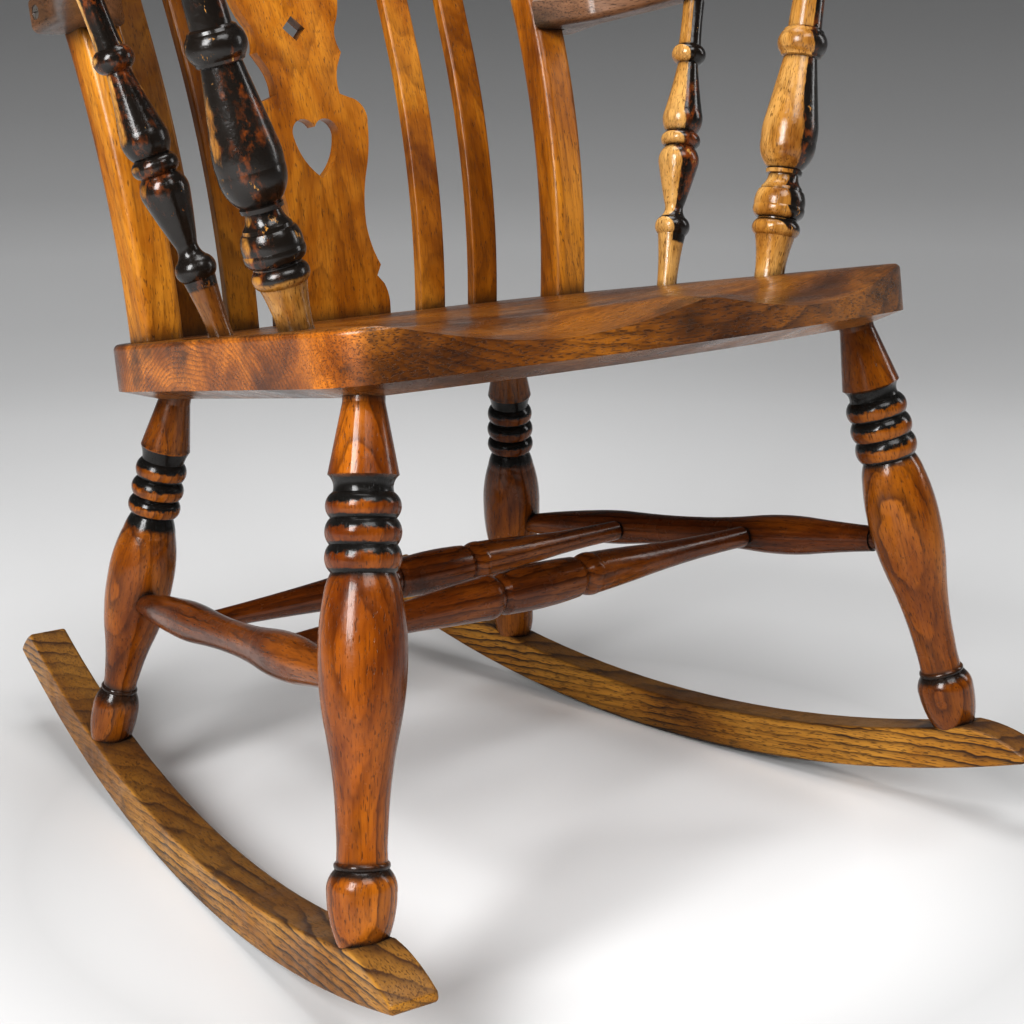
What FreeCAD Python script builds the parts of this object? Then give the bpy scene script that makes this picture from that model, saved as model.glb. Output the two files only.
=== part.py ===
import FreeCAD
import Part

import math
import os
from types import SimpleNamespace

import Sketcher
from FreeCAD import Placement, Rotation, Vector

# A turned and lath-backed Windsor rocking chair. All lengths are in millimetres, angles in degrees.
# The chair is drawn square to its seat: x across, y to the rear from the line that joins the tops
# of the front legs, z up from the flat underside of the seat. At the end every piece is leaned back
# together, and set down so that the lowest line of the rockers is at z = 0.

doc = FreeCAD.newDocument("rocking_chair")
sheet = doc.addObject("Spreadsheet::Sheet", "Sizes")


# A length or share that carries both its number and the words of the sheet that make it

class Term:
    def __init__(self, number, words):
        self.number = number
        self.words = words

    def __add__(self, other):
        other = as_term(other)
        return Term(self.number + other.number, f"({self.words} + {other.words})")

    def __sub__(self, other):
        other = as_term(other)
        return Term(self.number - other.number, f"({self.words} - {other.words})")

    def __mul__(self, other):
        other = as_term(other)
        return Term(self.number * other.number, f"{self.words} * {other.words}")

    def __truediv__(self, other):
        other = as_term(other)
        return Term(self.number / other.number, f"{self.words} / ({other.words})")

    def __neg__(self):
        return Term(-self.number, f"(0 - {self.words})")


def as_term(value):
    return value if isinstance(value, Term) else Term(float(value), repr(float(value)))


def root(term):
    return Term(math.sqrt(term.number), f"sqrt({term.words})")


def keep(alias, number):
    """Writes a size into the next row of the sheet, and gives it back as a term."""
    row = keep.row
    keep.row += 1
    sheet.set(f"A{row}", alias.replace("_", " "))
    sheet.set(f"B{row}", repr(float(number)))
    sheet.setAlias(f"B{row}", alias)
    return Term(float(number), f"Sizes.{alias}")


def work_out(alias, term):
    """Writes a size that follows from the others into the sheet, as a formula."""
    keep(alias, term.number)
    sheet.set(f"B{keep.row - 1}", "=" + term.words.replace("Sizes.", ""))
    return Term(term.number, f"Sizes.{alias}")


keep.row = 1


# The driving sizes, piece by piece

SIZES = {
    # How the chair stands, and how its joints fit
    "lean_angle": 9.34,
    "joint_gap": 0.1,
    "overrun": 6.0,

    # The seat: a thick board, bowed at the front, with thigh hollows each side of a low pommel
    "seat_thickness": 40.0,
    "seat_front_half_width": 243.0,
    "seat_rear_half_width": 207.0,
    "seat_front_corner_reach": 28.0,
    "seat_front_bow": 42.0,
    "seat_rear_corner_reach": 340.0,
    "seat_rear_bow": 15.0,
    "seat_front_corner_radius": 42.0,
    "seat_rear_corner_radius": 75.0,
    "seat_rim_radius": 4.0,
    "seat_bevel_height": 8.0,
    "seat_bevel_width": 26.0,
    "thigh_hollow_depth": 19.0,
    "thigh_hollow_half_width": 235.0,
    "thigh_hollow_length": 170.0,
    "dish_depth": 9.0,
    "dish_half_width": 178.0,
    "dish_half_length": 138.0,
    "dish_middle_reach": 92.0,
    "hollow_blend": 1.5,

    # The legs: their tops are tenoned up into the seat, their feet down into the rockers
    "front_leg_diameter": 50.8,
    "front_leg_top_half_span": 210.0,
    "front_leg_tenon_diameter": 24.4,
    "front_foot_advance": 17.0,
    "rear_leg_diameter": 48.0,
    "rear_leg_top_half_span": 154.0,
    "rear_leg_top_setback": 321.0,
    "rear_leg_tenon_diameter": 23.0,
    "rear_foot_setback": 408.5,
    "leg_tenon_length": 27.0,
    "foot_tenon_diameter": 16.0,
    "foot_tenon_length": 17.0,
    "foot_sink": 4.5,

    # The rockers: two sawn boards on edge, closer together behind than in front
    "rocker_thickness": 29.7,
    "rocker_height": 30.7,
    "rocker_radius": 975.0,
    "rocker_drop": 335.6,
    "rocker_middle_setback": 98.0,
    "rocker_middle_half_span": 246.0,
    "rocker_toe_angle": 8.87,
    "rocker_front_reach": 177.5,
    "rocker_rear_reach": 488.0,
    "rocker_nose_length": 47.0,
    "rocker_nose_height": 6.0,
    "rocker_heel_slope": 34.0,
    "rocker_corner_radius": 3.0,
    "rocker_edge_radius": 2.5,

    # The stretchers: one along each side from leg to leg, and two across between those
    "side_stretcher_diameter": 30.0,
    "side_stretcher_rear_drop": 150.0,
    "side_stretcher_front_drop": 158.0,
    "side_tenon_diameter": 16.0,
    "cross_stretcher_diameter": 32.0,
    "front_cross_setback": 123.0,
    "rear_cross_setback": 247.0,
    "cross_tenon_diameter": 13.0,

    # The bent back: the hoop, four laths and a fretted splat, all bowed forward at the loins
    "lumbar_radius": 610.0,
    "lumbar_height": 115.0,
    "hoop_width": 30.5,
    "hoop_depth": 27.0,
    "hoop_setback": 263.7,
    "hoop_bend_height": 330.0,
    "hoop_bend_half_span": 202.6,
    "hoop_flare_slope": 0.066,
    "hoop_crown_rise": 384.0,
    "hoop_edge_radius": 6.0,
    "lath_width": 25.0,
    "lath_depth": 8.0,
    "lath_bend_height": 250.0,
    "lath_edge_radius": 2.5,
    "outer_lath_foot_half_span": 133.4,
    "outer_lath_head_half_span": 160.3,
    "outer_lath_setback": 314.5,
    "inner_lath_foot_half_span": 86.0,
    "inner_lath_head_half_span": 108.0,
    "inner_lath_setback": 321.5,
    "splat_depth": 10.5,
    "splat_setback": 331.0,
    "splat_half_width": 51.3,
    "heart_half_width": 20.8,
    "heart_height": 44.5,
    "diamond_half_width": 10.0,
    "diamond_height": 19.5,
    "back_mortise_depth": 22.0,
    "hoop_mortise_depth": 12.0,

    # The arms: flat boards on turned posts, notched round the hoop and screwed to it
    "arm_thickness": 24.0,
    "arm_hoop_height": 251.5,
    "arm_slope_angle": 4.0,
    "arm_length": 302.0,
    "arm_heel_half_span": 180.0,
    "arm_spread": 117.0,
    "arm_edge_radius": 5.0,
    "arm_lug_radius": 8.0,
    "arm_corner_radius": 20.0,
    "front_post_diameter": 41.0,
    "front_post_half_span": 203.5,
    "front_post_setback": 72.0,
    "front_post_top_half_span": 259.0,
    "front_post_top_setback": 52.0,
    "rear_post_diameter": 31.0,
    "rear_post_half_span": 196.3,
    "rear_post_setback": 172.3,
    "rear_post_top_half_span": 258.0,
    "rear_post_top_setback": 176.5,
    "front_post_tenon_diameter": 21.5,
    "rear_post_tenon_diameter": 15.0,
    "post_tenon_length": 20.0,
    "front_arm_tenon_diameter": 19.0,
    "rear_arm_tenon_diameter": 15.5,
    "arm_tenon_length": 13.0,
    "screw_shank_diameter": 5.0,
    "screw_head_diameter": 9.6,
    "screw_length": 48.0,
    "screw_head_height": 3.0,
    "screw_point_length": 8.0,
    "screw_slot_width": 1.2,
    "screw_slot_depth": 1.3,
    "screw_half_span": 238.0,
    "screw_setback": 289.0,
    "screw_height": 261.8,
}

size = SimpleNamespace()
for alias, number in SIZES.items():
    setattr(size, alias, keep(alias, number))

# The turnings, as shares of each piece's visible length and of its largest diameter. A pair is a
# straight cut to that place. Four numbers are a rounded or hollow cut, by way of the first place
# to the second.

front_leg_collar_share = 0.010
rear_leg_collar_share = 0.020

front_leg_shares = [
    (0.142, 0.800),
    (0.150, 0.715, 0.173, 0.681),
    (0.197, 0.848, 0.2208, 0.740),
    (0.245, 0.862, 0.269, 0.762),
    (0.2945, 0.864, 0.3203, 0.728),
    (0.338, 0.815, 0.365, 0.885),
    (0.413, 0.970, 0.467, 1.000),
    (0.5415, 0.952, 0.616, 0.807),
    (0.700, 0.650, 0.784, 0.580),
    (0.815, 0.564, 0.842, 0.572),
    (0.849, 0.632, 0.856, 0.600),
    (0.870, 0.725, 0.899, 0.784),
    (0.955, 0.700, 1.000, 0.510),
]

rear_leg_shares = [
    (0.147, 0.740),
    (0.158, 0.690, 0.183, 0.625),
    (0.210, 0.765, 0.236, 0.645),
    (0.261, 0.790, 0.287, 0.650),
    (0.311, 0.790, 0.337, 0.620),
    (0.356, 0.715, 0.385, 0.800),
    (0.445, 0.950, 0.520, 1.000),
    (0.600, 0.950, 0.675, 0.800),
    (0.742, 0.630, 0.805, 0.530),
    (0.822, 0.508, 0.836, 0.512),
    (0.843, 0.560, 0.850, 0.535),
    (0.874, 0.660, 0.912, 0.708),
    (0.960, 0.680, 1.000, 0.573),
]

post_collar_share = 0.014

front_post_shares = [
    (0.062, 0.575, 0.121, 0.705),
    (0.146, 0.855, 0.171, 0.700),
    (0.175, 0.700),
    (0.185, 0.850, 0.214, 0.900),
    (0.245, 0.880, 0.263, 0.800),
    (0.265, 0.740),
    (0.274, 0.720),
    (0.290, 0.590, 0.311, 0.530),
    (0.315, 0.630),
    (0.326, 0.650),
    (0.330, 0.600),
    (0.360, 0.860, 0.417, 0.985),
    (0.448, 1.000, 0.478, 0.965),
    (0.576, 0.780, 0.674, 0.600),
    (0.679, 0.700),
    (0.687, 0.730),
    (0.720, 0.880, 0.753, 0.740),
    (0.761, 0.700),
    (0.767, 0.600),
    (0.895, 0.545, 0.984, 0.500),
]

rear_post_shares = [
    (0.090, 0.545, 0.172, 0.680),
    (0.2035, 0.860, 0.232, 0.620),
    (0.250, 0.470, 0.280, 0.500),
    (0.345, 0.750, 0.415, 0.985),
    (0.448, 0.960, 0.468, 0.800),
    (0.474, 0.740),
    (0.4996, 0.980, 0.525, 0.740),
    (0.530, 0.800),
    (0.560, 0.975, 0.600, 0.930),
    (0.680, 0.700, 0.765, 0.500),
    (0.798, 0.850, 0.830, 0.560),
    (0.910, 0.520, 0.984, 0.530),
]

side_collar_share = 0.066
side_stretcher_shares = [
    (0.150, 0.740, 0.240, 0.880),
    (0.295, 0.920, 0.350, 0.870),
    (0.430, 0.760, 0.510, 0.730),
    (0.580, 0.770, 0.650, 0.900),
    (0.715, 1.000, 0.780, 0.940),
    (0.850, 0.760, 0.924, 0.620),
]

cross_collar_share = 0.036
cross_stretcher_shares = [
    (0.150, 0.530, 0.260, 0.700),
    (0.330, 0.850, 0.385, 0.935),
    (0.404, 0.920, 0.415, 0.760),
    (0.426, 0.910),
    (0.500, 1.000, 0.574, 0.910),
    (0.585, 0.760),
    (0.596, 0.920, 0.615, 0.935),
    (0.670, 0.850, 0.740, 0.700),
    (0.850, 0.530, 0.964, 0.500),
]

# The right-hand outline of the splat, as shares of its half width and of its height: a rounded
# foot, a pointed bump, a waist, a shoulder beside the heart, a notch, a second bump, and a
# shoulder beside the diamond. The upper half is the lower one turned over.

splat_foot_shares = (1.000, 0.008)
splat_outline_shares = [
    (0.985, 0.022, 0.912, 0.038),
    (0.790, 0.049),
    (0.868, 0.062),
    (0.722, 0.090, 0.668, 0.115),
    (0.688, 0.144, 0.784, 0.177),
    (0.905, 0.210, 0.958, 0.238),
    (0.920, 0.260, 0.720, 0.271),
    (0.554, 0.276),
    (0.556, 0.294, 0.630, 0.312),
    (0.742, 0.328),
    (0.695, 0.344, 0.738, 0.361),
    (0.850, 0.379, 0.915, 0.400),
    (0.900, 0.428, 0.790, 0.445),
    (0.650, 0.465, 0.620, 0.500),
]

# The right-hand half of a heart from its tip to the notch between its lobes, as shares of its half
# width and height, and how high up the splat the hearts' tips and the diamonds' lower tips stand

heart_shares = [
    (0.740, 0.370, 0.985, 0.700),
    (0.640, 1.000, 0.000, 0.880),
]
heart_rise_shares = (0.1732, 0.7550)
diamond_rise_shares = (0.3422, 0.6263)

# The right arm seen from above: across from its heel by the hoop, as shares of its spread, and to
# the rear from the hoop's front, as shares of its length

arm_heel_shares = (0.000, 0.046)
arm_outline_shares = [
    (0.308, 0.132),
    (0.502, 0.126),
    (0.496, -0.007),
    (0.863, -0.364, 1.000, -0.854),
    (0.675, -0.934, 0.350, -0.854),
    (0.564, -0.397, 0.291, -0.053),
    (0.000, 0.046),
]


def plane(body, role):
    """The origin plane of a body that has this role."""
    for feature in body.Origin.OriginFeatures:
        if feature.Role == role:
            return feature
    raise ValueError(role)


def new_sketch(body, role, name):
    sketch = body.newObject("Sketcher::SketchObject", name)
    sketch.AttachmentSupport = [(plane(body, role), "")]
    sketch.MapMode = "FlatFace"
    return sketch


def point_at(pair):
    return Vector(pair[0].number, pair[1].number, 0)


def pin_point(sketch, edge, end, pair):
    """Fixes one end of an edge at a pair of terms from the sketch's origin."""
    for kind, term in zip(("DistanceX", "DistanceY"), pair):
        rule = sketch.addConstraint(Sketcher.Constraint(kind, -1, 1, edge, end, term.number))
        sketch.setExpression(f"Constraints[{rule}]", term.words)


def end_near(sketch, edge, spot):
    """Which end of an edge lies at a spot: an arc may have been stored the other way round."""
    start = sketch.getPoint(edge, 1)
    finish = sketch.getPoint(edge, 2)
    return 1 if start.distanceToPoint(spot) < finish.distanceToPoint(spot) else 2


def draw_loop(sketch, start, cuts):
    """Draws a closed outline. A cut is a corner to go to in a straight line, or two places: one
    that an arc passes and one where it ends."""
    here = start
    first = last = None
    for cut in cuts:
        spot = point_at(here)
        goal = cut[-1]
        if len(cut) == 1:
            edge = sketch.addGeometry(Part.LineSegment(spot, point_at(goal)))
        else:
            edge = sketch.addGeometry(Part.Arc(spot, point_at(cut[0]), point_at(goal)))
            mark = sketch.addGeometry(Part.Point(point_at(cut[0])), True)
            sketch.addConstraint(Sketcher.Constraint("PointOnObject", mark, 1, edge))
            pin_point(sketch, mark, 1, cut[0])
        near_end = end_near(sketch, edge, spot)
        far_end = 3 - near_end
        if last is None:
            first = (edge, near_end)
            pin_point(sketch, edge, near_end, here)
        else:
            sketch.addConstraint(Sketcher.Constraint("Coincident", last[0], last[1], edge, near_end))
        if goal is not start:
            pin_point(sketch, edge, far_end, goal)
        last = (edge, far_end)
        here = goal
    sketch.addConstraint(Sketcher.Constraint("Coincident", last[0], last[1], first[0], first[1]))


def facing(direction):
    """The turn that takes the upright axis to a direction."""
    return Rotation(Vector(0, 0, 1), direction)


def mirrored(spot, side):
    return Vector(spot.x * side, spot.y, spot.z)


def turned(name, start, end, shares, collar_share, widest, ends, tenons):
    """A piece turned about the line from start to end. ends are the diameters of its two tenons,
    tenons their lengths. Its length goes into the sheet with the sizes."""
    zero = as_term(0)
    length = keep(f"{name}_length", (end - start).Length)
    body = doc.addObject("PartDesign::Body", f"{name}_turning")
    sketch = new_sketch(body, "XZ_Plane", f"{name}_profile")

    def along(share):
        return tenons[0] + length * share

    def across(share):
        return widest * (share / 2)

    first_collar = along(collar_share)
    last_share = shares[-1][-2]
    cuts = [
        ((ends[0] / 2, zero),),
        ((ends[0] / 2, first_collar),),
    ]
    for row in shares:
        if len(row) == 2:
            cuts.append(((across(row[1]), along(row[0])),))
        else:
            cuts.append(((across(row[1]), along(row[0])), (across(row[3]), along(row[2]))))
    origin = (zero, zero)
    top = tenons[0] + length + tenons[1]
    cuts.append(((ends[1] / 2, along(last_share)),))
    cuts.append(((ends[1] / 2, top),))
    cuts.append(((zero, top),))
    cuts.append((origin,))
    draw_loop(sketch, origin, cuts)
    turning = body.newObject("PartDesign::Revolution", f"{name}_turned")
    turning.Profile = (sketch, [""])
    turning.ReferenceAxis = (sketch, ["V_Axis"])
    turning.Angle = 360
    direction = (end - start).normalize()
    body.Placement = Placement(start - direction * tenons[0].number, facing(direction))
    return body


def bored(name, start, direction, diameter, depth, clearance=size.joint_gap):
    """A round cutter from start along direction, wider than a tenon by the fitting gap."""
    cutter = doc.addObject("Part::Cylinder", name)
    radius = diameter / 2 + clearance
    cutter.Radius = radius.number
    cutter.setExpression("Radius", radius.words)
    cutter.Height = depth.number
    cutter.setExpression("Height", depth.words)
    cutter.Placement = Placement(start, facing(direction))
    return cutter


def joined(name, pieces):
    union = doc.addObject("Part::MultiFuse", name)
    union.Shapes = pieces
    return union


def cut_away(name, base, tool):
    result = doc.addObject("Part::Cut", name)
    result.Base = base
    result.Tool = tool
    return result


sub_parts = []


def finished(piece, label):
    """Names a piece as a separate part of the chair."""
    piece.Label = label
    sub_parts.append(piece)
    return piece


SIDES = (("left", -1), ("right", 1))

# Where the pieces meet, worked out from the sizes

rocker_turn = math.radians(size.rocker_toe_angle.number)
rocker_centre_height = size.rocker_radius.number - size.rocker_drop.number


def rocker_top(setback):
    """The middle of the right rocker's upper edge, at a distance behind the front legs' tops."""
    along = (setback - size.rocker_middle_setback.number) / math.cos(rocker_turn)
    inner_radius = size.rocker_radius.number - size.rocker_height.number
    height = rocker_centre_height - math.sqrt(inner_radius ** 2 - along ** 2)
    across = size.rocker_middle_half_span.number - along * math.sin(rocker_turn)
    return Vector(across, setback, height)


front_leg_top = Vector(size.front_leg_top_half_span.number, 0, 0)
rear_leg_top = Vector(size.rear_leg_top_half_span.number, size.rear_leg_top_setback.number, 0)


def leg_foot(top, setback):
    """The end of the leg's foot before it is scribed to the rocker, sunk a little into its top."""
    ground = rocker_top(setback)
    direction = (ground - top).normalize()
    return ground + direction * size.foot_sink.number


front_foot = leg_foot(front_leg_top, -size.front_foot_advance.number)
rear_foot = leg_foot(rear_leg_top, size.rear_foot_setback.number)


def on_leg(top, foot, drop):
    """The place on a leg's axis that lies a given drop below the seat."""
    return top + (foot - top) * (drop / -foot.z)


stretcher_rear = on_leg(rear_leg_top, rear_foot, size.side_stretcher_rear_drop.number)
stretcher_front = on_leg(front_leg_top, front_foot, size.side_stretcher_front_drop.number)


def on_stretcher(setback):
    share = (setback - stretcher_rear.y) / (stretcher_front.y - stretcher_rear.y)
    return stretcher_rear + (stretcher_front - stretcher_rear) * share


front_cross_end = on_stretcher(size.front_cross_setback.number)
rear_cross_end = on_stretcher(size.rear_cross_setback.number)


def arm_underside(setback):
    rise = (size.hoop_setback.number - setback) * math.tan(math.radians(size.arm_slope_angle.number))
    return size.arm_hoop_height.number + rise


front_post_foot = Vector(
    size.front_post_half_span.number,
    size.front_post_setback.number,
    size.seat_thickness.number,
)
rear_post_foot = Vector(
    size.rear_post_half_span.number,
    size.rear_post_setback.number,
    size.seat_thickness.number,
)
front_post_head = Vector(
    size.front_post_top_half_span.number,
    size.front_post_top_setback.number,
    arm_underside(size.front_post_top_setback.number),
)
rear_post_head = Vector(
    size.rear_post_top_half_span.number,
    size.rear_post_top_setback.number,
    arm_underside(size.rear_post_top_setback.number),
)


# The turned pieces

def socket_in_leg(name, side, end, far_end):
    """The cutter for a side stretcher's tenon, from outside the leg to the tenon's end."""
    direction = (far_end - end).normalize()
    return bored(
        name,
        mirrored(end - direction * size.joint_gap.number, side),
        mirrored(direction, side),
        size.side_tenon_diameter,
        size.front_leg_diameter + size.overrun,
    )


bored_legs = {}
for word, side in SIDES:
    front_leg = turned(
        f"front_{word}_leg_blank",
        mirrored(front_leg_top, side),
        mirrored(front_foot, side),
        front_leg_shares,
        front_leg_collar_share,
        size.front_leg_diameter,
        (size.front_leg_tenon_diameter, size.foot_tenon_diameter),
        (size.leg_tenon_length, size.foot_tenon_length),
    )
    front_socket = socket_in_leg(f"front_{word}_leg_socket", side, stretcher_front, stretcher_rear)
    bored_legs["front", word] = cut_away(f"front_{word}_leg_bored", front_leg, front_socket)
    rear_leg = turned(
        f"rear_{word}_leg_blank",
        mirrored(rear_leg_top, side),
        mirrored(rear_foot, side),
        rear_leg_shares,
        rear_leg_collar_share,
        size.rear_leg_diameter,
        (size.rear_leg_tenon_diameter, size.foot_tenon_diameter),
        (size.leg_tenon_length, size.foot_tenon_length),
    )
    rear_socket = socket_in_leg(f"rear_{word}_leg_socket", side, stretcher_rear, stretcher_front)
    bored_legs["rear", word] = cut_away(f"rear_{word}_leg_bored", rear_leg, rear_socket)

for word, side in SIDES:
    side_stretcher = turned(
        f"{word}_side_stretcher",
        mirrored(stretcher_rear, side),
        mirrored(stretcher_front, side),
        side_stretcher_shares,
        side_collar_share,
        size.side_stretcher_diameter,
        (size.side_tenon_diameter, size.side_tenon_diameter),
        (as_term(0), as_term(0)),
    )
    across = Vector(-side, 0, 0)
    sockets = []
    for place, end in (("front", front_cross_end), ("rear", rear_cross_end)):
        sockets.append(
            bored(
                f"{word}_{place}_cross_socket",
                mirrored(end, side) - across * size.joint_gap.number,
                across,
                size.cross_tenon_diameter,
                size.side_stretcher_diameter,
            )
        )
    tool = joined(f"{word}_cross_sockets", sockets)
    finished(cut_away(f"{word}_side_stretcher_bored", side_stretcher, tool), f"{word}_side_stretcher")

for place, end in (("front", front_cross_end), ("rear", rear_cross_end)):
    cross_stretcher = turned(
        f"{place}_cross_stretcher",
        mirrored(end, -1),
        end,
        cross_stretcher_shares,
        cross_collar_share,
        size.cross_stretcher_diameter,
        (size.cross_tenon_diameter, size.cross_tenon_diameter),
        (as_term(0), as_term(0)),
    )
    finished(cross_stretcher, f"{place}_cross_stretcher")

for word, side in SIDES:
    front_post = turned(
        f"front_{word}_arm_post",
        mirrored(front_post_foot, side),
        mirrored(front_post_head, side),
        front_post_shares,
        post_collar_share,
        size.front_post_diameter,
        (size.front_post_tenon_diameter, size.front_arm_tenon_diameter),
        (size.post_tenon_length, size.arm_tenon_length),
    )
    finished(front_post, f"front_{word}_arm_post")
    rear_post = turned(
        f"rear_{word}_arm_post",
        mirrored(rear_post_foot, side),
        mirrored(rear_post_head, side),
        rear_post_shares,
        post_collar_share,
        size.rear_post_diameter,
        (size.rear_post_tenon_diameter, size.rear_arm_tenon_diameter),
        (size.post_tenon_length, size.arm_tenon_length),
    )
    finished(rear_post, f"rear_{word}_arm_post")


# The rockers

def edges_that(shape, suits):
    """The names of the edges of a shape that suit a test."""
    return [f"Edge{number}" for number, edge in enumerate(shape.Edges, 1) if suits(edge)]


def rounded(body, base, name, names, radius):
    fillet = body.newObject("PartDesign::Fillet", name)
    fillet.Base = (base, names)
    fillet.Radius = radius.number
    fillet.setExpression("Radius", radius.words)
    return fillet


def padded(body, sketch, name, length, symmetric=False):
    pad = body.newObject("PartDesign::Pad", name)
    pad.Profile = (sketch, [""])
    if symmetric:
        pad.SideType = "Symmetric"
    pad.Length = length.number
    pad.setExpression("Length", length.words)
    return pad


def rocker_board(word, side):
    """A curved board on edge: sawn to an arc below and above, with a sloping nose and heel."""
    body = doc.addObject("PartDesign::Body", f"{word}_rocker_board")
    sketch = new_sketch(body, "YZ_Plane", f"{word}_rocker_outline")
    centre = size.rocker_radius - size.rocker_drop
    inner_radius = size.rocker_radius - size.rocker_height

    def below(along):
        return (along, centre - root(size.rocker_radius * size.rocker_radius - along * along))

    def above(along):
        return (along, centre - root(inner_radius * inner_radius - along * along))

    nose_foot = below(-size.rocker_front_reach)
    nose_tip = (-size.rocker_front_reach, nose_foot[1] + size.rocker_nose_height)
    nose_top = above(-size.rocker_front_reach + size.rocker_nose_length)
    nose_middle_share = 0.5
    nose_swell_share = 0.70
    nose_way = -size.rocker_front_reach + size.rocker_nose_length * nose_middle_share
    nose_lift = (nose_top[1] - nose_tip[1]) * nose_swell_share
    heel_foot = below(size.rocker_rear_reach)
    heel_top = above(size.rocker_rear_reach - size.rocker_heel_slope)
    heel_way_share = 0.5
    heel_swell_share = 0.62
    heel_way = size.rocker_rear_reach - size.rocker_heel_slope * heel_way_share
    heel_lift = (heel_top[1] - heel_foot[1]) * heel_swell_share
    cuts = [
        (below(as_term(0)), heel_foot),
        ((heel_way, heel_foot[1] + heel_lift), heel_top),
        (above(as_term(0)), nose_top),
        ((nose_way, nose_tip[1] + nose_lift), nose_tip),
        (nose_foot,),
    ]
    draw_loop(sketch, nose_foot, cuts)
    pad = padded(body, sketch, f"{word}_rocker_sawn", size.rocker_thickness, symmetric=True)
    doc.recompute()
    corners = edges_that(pad.Shape, lambda edge: edge.BoundBox.XLength > size.joint_gap.number)
    eased = rounded(body, pad, f"{word}_rocker_corners", corners, size.rocker_corner_radius)
    doc.recompute()
    arrises = edges_that(eased.Shape, lambda edge: edge.BoundBox.XLength < size.joint_gap.number)
    rounded(body, eased, f"{word}_rocker_arrises", arrises, size.rocker_edge_radius)
    body.Placement = Placement(
        Vector(side * size.rocker_middle_half_span.number, size.rocker_middle_setback.number, 0),
        Rotation(Vector(0, 0, 1), side * size.rocker_toe_angle.number),
    )
    return body


for word, side in SIDES:
    board = rocker_board(word, side)
    mortises = []
    for place, top, foot in (
        ("front", front_leg_top, front_foot),
        ("rear", rear_leg_top, rear_foot),
    ):
        name = f"{place}_{word}"
        direction = mirrored((foot - top).normalize(), side)
        start = mirrored(foot, side) - direction * size.foot_sink.number * 2
        depth = size.foot_tenon_length + size.foot_sink * 2 + size.joint_gap
        tenon = (start, direction, size.foot_tenon_diameter, depth)
        mortises.append(bored(f"{name}_foot_mortise", *tenon))
        kept_tenon = bored(f"{name}_kept_tenon", *tenon)
        scribe = cut_away(f"{name}_foot_scribe", board, kept_tenon)
        finished(cut_away(f"{name}_leg_scribed", bored_legs[place, word], scribe), f"{name}_leg")
    rocker = cut_away(f"{word}_rocker_bored", board, joined(f"{word}_foot_mortises", mortises))
    finished(rocker, f"{word}_rocker")


# The back: each bent piece is a curved strip, sawn to its front outline

back_foot_height = work_out("back_foot_height", size.seat_thickness - size.back_mortise_depth)
hoop_bend_sine = work_out(
    "hoop_bend_sine",
    (size.hoop_bend_height - size.lumbar_height) / size.lumbar_radius,
)
hoop_bend_cosine = work_out("hoop_bend_cosine", root(as_term(1) - hoop_bend_sine * hoop_bend_sine))
hoop_bend_setback = work_out(
    "hoop_bend_setback",
    size.hoop_setback + size.lumbar_radius * (as_term(1) - hoop_bend_cosine),
)
flare_secant = work_out("flare_secant", root(size.hoop_flare_slope * size.hoop_flare_slope + 1))
hoop_crown_radius = work_out(
    "hoop_crown_radius",
    (size.hoop_bend_half_span + (size.hoop_crown_rise - size.hoop_width / 2) * size.hoop_flare_slope)
    / (flare_secant + size.hoop_flare_slope),
)
hoop_crown_centre = work_out(
    "hoop_crown_centre",
    size.hoop_crown_rise - size.hoop_width / 2 - hoop_crown_radius,
)
hoop_foot_fall = work_out(
    "hoop_foot_fall",
    (size.hoop_bend_height - back_foot_height) / hoop_bend_cosine,
)
hoop_top = work_out("hoop_top", size.hoop_bend_height + size.hoop_crown_rise * hoop_bend_cosine)


def bent_strip(body, name, setback, depth, bend_height, half_reach, grow):
    """A strip bowed on an arc up to bend_height and straight above it. grow thickens it."""
    sketch = new_sketch(body, "YZ_Plane", f"{name}_side_view")
    front_radius = size.lumbar_radius + grow
    rear_radius = size.lumbar_radius - depth - grow
    centre = setback + size.lumbar_radius
    sine = (bend_height - size.lumbar_height) / size.lumbar_radius
    cosine = root(as_term(1) - sine * sine)
    floor = back_foot_height - grow
    low = floor - size.lumbar_height
    top = hoop_top + size.overrun

    def bowed(radius):
        foot = (centre - root(radius * radius - low * low), floor)
        waist = (centre - radius, size.lumbar_height)
        bend = (centre - radius * cosine, size.lumbar_height + radius * sine)
        head = (bend[0] + (top - bend[1]) * sine / cosine, top)
        return foot, waist, bend, head

    front = bowed(front_radius)
    rear = bowed(rear_radius)
    cuts = [
        (front[1], front[2]),
        (front[3],),
        (rear[3],),
        (rear[2],),
        (rear[1], rear[0]),
        (front[0],),
    ]
    draw_loop(sketch, front[0], cuts)
    return padded(body, sketch, f"{name}_bent", half_reach * 2, symmetric=True)


def sawn_out(body, name, half_reach, loops, tilt=None):
    """Saws the strip in a body to the closed outlines of its front view."""
    sketch = new_sketch(body, "XZ_Plane", f"{name}_front_view")
    if tilt is not None:
        sketch.AttachmentOffset = tilt
    far = half_reach + size.overrun
    floor = back_foot_height - size.lumbar_radius
    ceiling = hoop_top + size.overrun * 2
    corner = (-far, floor)
    draw_loop(sketch, corner, [((far, floor),), ((far, ceiling),), ((-far, ceiling),), (corner,)])
    for start, cuts in loops:
        draw_loop(sketch, start, cuts)
    pocket = body.newObject("PartDesign::Pocket", f"{name}_sawn")
    pocket.Profile = (sketch, [""])
    pocket.Type = "ThroughAll"
    if tilt is not None:
        pocket.SideType = "Symmetric"
    return pocket


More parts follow.
